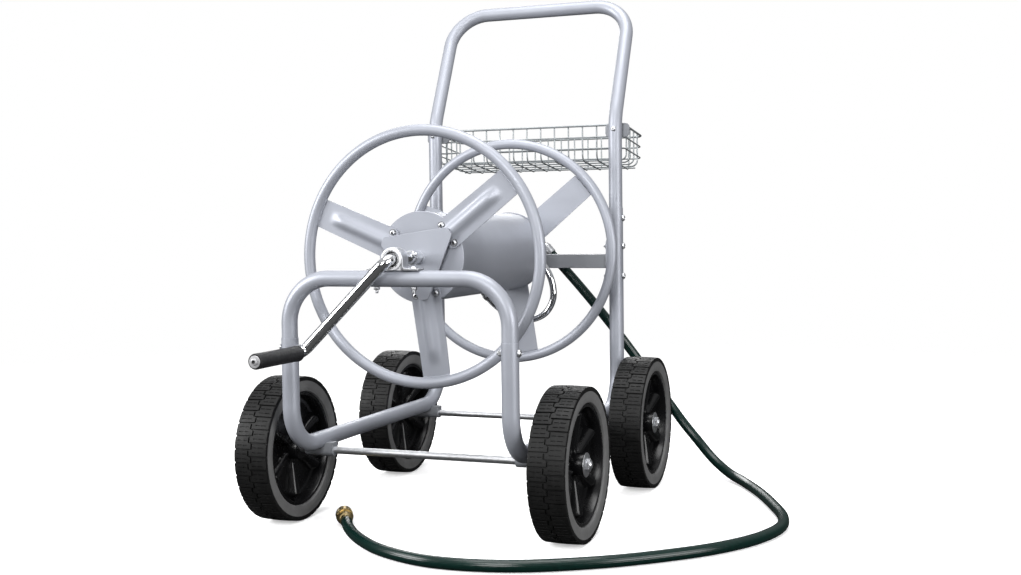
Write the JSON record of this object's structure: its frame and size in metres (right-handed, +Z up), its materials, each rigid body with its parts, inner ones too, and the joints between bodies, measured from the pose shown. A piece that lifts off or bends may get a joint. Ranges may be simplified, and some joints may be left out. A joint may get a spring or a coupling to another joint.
{
  "type": "garden hose reel cart",
  "caption": "Wheeled garden hose reel cart: bent tube frame with a push handle, a crank-driven reel between wheeled rails, a wire basket behind, and a leader hose with a threaded coupling.",
  "frame": {"origin": "on the floor, under the middle of the cart's footprint, the leader hose left out", "axes": "+Z up, +X to the cart's right seen from the crank end, -Y towards the crank end and +Y towards the push handle"},
  "size_m": [0.8839, 0.9438, 0.9805],
  "materials": {
    "grey_paint": "smooth light grey powder coat with a faint lavender cast",
    "dark_paint": "satin mid grey paint",
    "bright_chrome": "mirror bright plating",
    "zinc_steel": "bright zinc plate",
    "tyre_rubber": "matt black rubber with a block tread",
    "wheel_plastic": "glossy black moulded plastic",
    "bush_plastic": "pale satin plastic",
    "grip_foam": "matt black sleeve",
    "yellow_brass": "lightly polished brass",
    "hose_green": "dark green reinforced vinyl with a soft sheen",
    "basket_wire": "grey coated wire"
  },
  "bodies": {
    "frame": {"side_rail_left": "grey_paint", "side_rail_right": "grey_paint", "front_hoop": "grey_paint", "handle_hoop": "grey_paint", "cross_brace": "dark_paint", "axle_bracket_front_left": "dark_paint", "axle_bracket_front_right": "dark_paint", "front_axle": "zinc_steel", "axle_bracket_rear_left": "dark_paint", "axle_bracket_rear_right": "dark_paint", "rear_axle": "zinc_steel", "axle_nut_front_left": "zinc_steel", "axle_nut_front_right": "zinc_steel", "axle_nut_rear_left": "zinc_steel", "axle_nut_rear_right": "zinc_steel", "front_bush": "bush_plastic", "front_bearing_strap": "zinc_steel", "rear_bush": "bush_plastic", "rear_bearing_strap": "zinc_steel", "inlet_swivel": "yellow_brass", "leader_hose": "hose_green", "hose_coupling": "yellow_brass", "basket": "basket_wire", "basket_plate_left": "dark_paint", "basket_plate_right": "dark_paint", "hoop_bolt_left": "zinc_steel", "handle_bolt_left": "zinc_steel", "brace_bolt_lower_left": "zinc_steel", "brace_bolt_upper_left": "zinc_steel", "hoop_bolt_right": "zinc_steel", "handle_bolt_right": "zinc_steel", "brace_bolt_lower_right": "zinc_steel", "brace_bolt_upper_right": "zinc_steel"},
    "reel": {"reel_ring_front": "grey_paint", "spoke_front_1": "grey_paint", "spoke_front_2": "grey_paint", "spoke_front_3": "grey_paint", "hub_plate_front": "grey_paint", "drum_disc_front": "grey_paint", "reel_ring_rear": "grey_paint", "spoke_rear_1": "grey_paint", "spoke_rear_2": "grey_paint", "spoke_rear_3": "grey_paint", "hub_plate_rear": "grey_paint", "drum_disc_rear": "grey_paint", "drum_shell": "grey_paint", "reel_shaft": "bright_chrome", "crank_arm": "bright_chrome", "grip_screw": "zinc_steel", "gooseneck_tube": "bright_chrome"},
    "grip": {"crank_grip": "grip_foam"},
    "wheel_front_left": {"tyre_front_left": "tyre_rubber", "rim_front_left": "wheel_plastic"},
    "wheel_front_right": {"tyre_front_right": "tyre_rubber", "rim_front_right": "wheel_plastic"},
    "wheel_rear_left": {"tyre_rear_left": "tyre_rubber", "rim_rear_left": "wheel_plastic"},
    "wheel_rear_right": {"tyre_rear_right": "tyre_rubber", "rim_rear_right": "wheel_plastic"}
  },
  "joints": [
    {"name": "reel_turn", "type": "hinge", "parent": "frame", "child": "reel", "pos_m": [0, 0, 0.4618], "axis": [0, 1, 0], "continuous": true},
    {"name": "grip_turn", "type": "hinge", "parent": "reel", "child": "grip", "pos_m": [-0.156, -0.40335, 0.3101], "axis": [0, 1, 0], "continuous": true},
    {"name": "wheel_front_left_roll", "type": "hinge", "parent": "frame", "child": "wheel_front_left", "pos_m": [-0.261, -0.19935, 0.127], "axis": [1, 0, 0], "continuous": true},
    {"name": "wheel_front_right_roll", "type": "hinge", "parent": "frame", "child": "wheel_front_right", "pos_m": [0.261, -0.19935, 0.127], "axis": [1, 0, 0], "continuous": true},
    {"name": "wheel_rear_left_roll", "type": "hinge", "parent": "frame", "child": "wheel_rear_left", "pos_m": [-0.261, 0.24765, 0.127], "axis": [1, 0, 0], "continuous": true},
    {"name": "wheel_rear_right_roll", "type": "hinge", "parent": "frame", "child": "wheel_rear_right", "pos_m": [0.261, 0.24765, 0.127], "axis": [1, 0, 0], "continuous": true}
  ]
}
